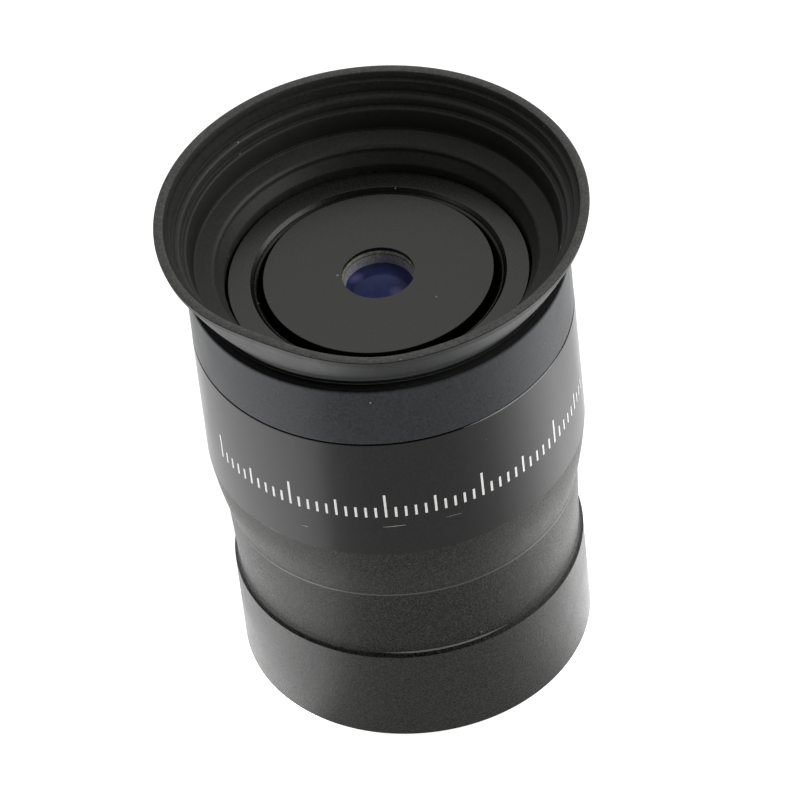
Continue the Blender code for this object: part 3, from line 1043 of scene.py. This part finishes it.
def gleam(name, middle, half, ends, material, slot, body):
    """A painted highlight round the object: a thin bright strip where an edge catches the light. It narrows
    towards its ends.

    middle and half are (radius, height) pairs: the strip's middle, and half of its width.
    """
    points, faces = [], []
    for step in range(GLEAM_STEPS + 1):
        share = step / GLEAM_STEPS
        angle = math.radians(ends[0] + (ends[1] - ends[0]) * share)
        fade = min(1, GLEAM_GROWTH * min(share, 1 - share) + GLEAM_END)
        for side in (-fade, fade):
            radius, height = Vector(middle) + Vector(half) * side
            points.append((radius * math.sin(angle), -radius * math.cos(angle), height))
        if step:
            faces.append((2 * step - 2, 2 * step - 1, 2 * step + 1, 2 * step))
    mesh = bpy.data.meshes.new(name)
    mesh.from_pydata(points, [], faces)
    finish_mesh(mesh, material)
    place(link(name, mesh), body, slot)


def make_gleams():
    """Painted highlights where edges catch the light: the undercut's fillet in front, the sleeve's top edge
    on the right.
    """
    outline = section("nosepiece")
    at = waist_at(outline)
    foot = min(outline[at - 1][1], outline[at + 1][1])
    middle = (NOSE_HIGH.x - FILLET_GLEAM.x, foot + FILLET_GLEAM.y)
    half = FILLET_GLEAM_HALF
    gleam("undercut_painted_highlight", middle, half, UNDERCUT_GLEAM_ENDS, PAINTED_HIGHLIGHT, "blasted_anodised", "nose")
    top = BASE_LOW.z - BAND_SEAM
    middle = (SLEEVE_HIGH.x + HAIR, top + BAND_SEAM / 4)
    gleam("sleeve_top_painted_highlight", middle, (0, BAND_SEAM), SLEEVE_GLEAM_ENDS, PAINTED_HIGHLIGHT, "satin_anodised", "housing")


make_nosepiece()
make_main_body()
make_housing_sleeve()
make_clamp_ring()
make_eye_plate()
make_inner_metal()
make_lenses()
make_eyecup()
make_filter_thread()
make_index_marks()
make_scratches()
make_gleams()


# ---------------------------------------------------------------- studio

FLOOR_SIZE = 6.0
LIGHT_AIM = (0, 0, 0.04)
# Each softbox: its place, its width and height, and its power in watts.
SOFTBOXES = {
    "softbox_right": ((0.36, -0.06, 0.25), (0.38, 0.24), 0.62),
    "softbox_left": ((-0.30, 0.02, 0.36), (0.30, 0.20), 0.12),
}
CAMERA_ELEVATION = math.radians(43.81)
CAMERA_ROLL = math.radians(-6.70)
CAMERA_DISTANCE = 674.6 * MM
# Where the middle of the face plate stands in the view: to the right and downwards.
FACE_ACROSS = -1.912 * MM
FACE_DOWN = -11.191 * MM
LENS = 345.5
SENSOR_WIDTH = 36
NEAREST = 0.01

HORIZON_LIGHT = 0.85
OVERHEAD_LIGHT = 0.25
MOST_GLOW = 4.0
# How brightly the floor glows towards each direction, in degrees from the front, positive to the right.
FLOOR_GLOW = (
    (-180, 0.95),
    (-125, 1.00),
    (-109, 1.45),
    (-93, 2.00),
    (-76, 2.60),
    (-58, 3.00),
    (-45, 2.70),
    (-35, 1.25),
    (-20, 0.95),
    (28, 0.92),
    (46, 1.30),
    (62, 2.20),
    (78, 2.90),
    (93, 2.70),
    (109, 1.75),
    (125, 1.10),
    (180, 0.95),
)
# Dark patches of the surroundings: a direction, the angles of core and edge, and the light that is left.
DARK_PATCHES = (
    ((0.0, -0.72, 0.69), math.radians(36), math.radians(55), 0.12),
    ((-0.885, -0.05, 0.463), math.radians(22), math.radians(34), 0.10),
)


def make_floor():
    """White paper on a light table, which glows most on both sides of the object."""
    bpy.ops.mesh.primitive_plane_add(size=FLOOR_SIZE, location=(0, 0, cad_low.z))
    floor = bpy.context.object
    floor.name = "floor"
    finish = Finish("floor_paper")
    finish.set(Base_Color=(0.5, 0.5, 0.5, 1), Roughness=0.9, Specular_IOR_Level=0.1)
    finish.set(Emission_Color=(1, 1, 1, 1))
    split = finish.node("ShaderNodeSeparateXYZ")
    finish.join(finish.place, split.inputs["Vector"])
    ahead = finish.math("MULTIPLY", split.outputs["Y"], -1)
    around = finish.math("ARCTAN2", split.outputs["X"], ahead)
    turn = finish.ramp(around, -math.pi, math.pi, 0, 1)
    shades = finish.node("ShaderNodeValToRGB")
    stops = shades.color_ramp.elements
    while len(stops) < len(FLOOR_GLOW):
        stops.new(0.5)
    for stop, (degrees, glow) in zip(stops, FLOOR_GLOW):
        stop.position = (degrees + 180) / 360
        stop.color = (glow / MOST_GLOW, glow / MOST_GLOW, glow / MOST_GLOW, 1)
    finish.join(turn, shades.inputs["Fac"])
    glow = finish.math("MULTIPLY", shades.outputs["Color"], MOST_GLOW)
    finish.join(glow, finish.shader.inputs["Emission Strength"])
    floor.data.materials.append(finish.material)


def make_world():
    """White surroundings, brightest at the horizon and dim overhead, with dark patches."""
    world = bpy.data.worlds.new("studio")
    world.use_nodes = True
    nodes, links = world.node_tree.nodes, world.node_tree.links
    background = nodes["Background"]
    background.inputs["Color"].default_value = (1, 1, 1, 1)
    direction = nodes.new("ShaderNodeTexCoord")
    split = nodes.new("ShaderNodeSeparateXYZ")
    fade = nodes.new("ShaderNodeMapRange")
    fade.inputs["From Min"].default_value = 0.0
    fade.inputs["From Max"].default_value = 1.0
    fade.inputs["To Min"].default_value = HORIZON_LIGHT
    fade.inputs["To Max"].default_value = OVERHEAD_LIGHT
    links.new(direction.outputs["Generated"], split.inputs["Vector"])
    links.new(split.outputs["Z"], fade.inputs["Value"])
    strength = fade.outputs["Result"]
    for middle, core, edge, share in DARK_PATCHES:
        towards = nodes.new("ShaderNodeVectorMath")
        towards.operation = "DOT_PRODUCT"
        towards.inputs[1].default_value = middle
        links.new(direction.outputs["Generated"], towards.inputs[0])
        patch = nodes.new("ShaderNodeMapRange")
        patch.interpolation_type = "SMOOTHSTEP"
        patch.inputs["From Min"].default_value = math.cos(edge)
        patch.inputs["From Max"].default_value = math.cos(core)
        patch.inputs["To Min"].default_value = 1.0
        patch.inputs["To Max"].default_value = share
        links.new(towards.outputs["Value"], patch.inputs["Value"])
        product = nodes.new("ShaderNodeMath")
        product.operation = "MULTIPLY"
        links.new(strength, product.inputs[0])
        links.new(patch.outputs["Result"], product.inputs[1])
        strength = product.outputs["Value"]
    links.new(strength, background.inputs["Strength"])
    bpy.context.scene.world = world


def area_light(name, place_at, size, energy):
    """A softbox that faces the object."""
    data = bpy.data.lights.new(name, "AREA")
    data.shape = "RECTANGLE"
    data.size, data.size_y = size
    data.energy = energy
    light = bpy.data.objects.new(name, data)
    light.location = place_at
    light.rotation_mode = "QUATERNION"
    light.rotation_quaternion = (Vector(LIGHT_AIM) - Vector(place_at)).to_track_quat("-Z", "Y")
    bpy.context.scene.collection.objects.link(light)


def make_camera():
    """A long lens, looking down at the face plate, rolled so that the object leans a little."""
    forward = Vector((0, math.cos(CAMERA_ELEVATION), -math.sin(CAMERA_ELEVATION)))
    level_up = Vector((0, math.sin(CAMERA_ELEVATION), math.cos(CAMERA_ELEVATION)))
    level_right = Vector((1, 0, 0))
    right = level_right * math.cos(CAMERA_ROLL) + level_up * math.sin(CAMERA_ROLL)
    up = level_up * math.cos(CAMERA_ROLL) - level_right * math.sin(CAMERA_ROLL)
    data = bpy.data.cameras.new("camera")
    data.lens = LENS
    data.sensor_width = SENSOR_WIDTH
    data.clip_start = NEAREST
    camera = bpy.data.objects.new("camera", data)
    bpy.context.scene.collection.objects.link(camera)
    face = Vector((0, 0, PLATE_HIGH.z))
    turn = Matrix((right, up, -forward)).transposed().to_4x4()
    stand = face - right * FACE_ACROSS + up * FACE_DOWN - forward * CAMERA_DISTANCE
    camera.matrix_world = Matrix.Translation(stand) @ turn
    bpy.context.scene.camera = camera


make_floor()
make_world()
for softbox, (place_at, size, energy) in SOFTBOXES.items():
    area_light(softbox, place_at, size, energy)
make_camera()
bpy.context.scene.view_settings.view_transform = "Standard"
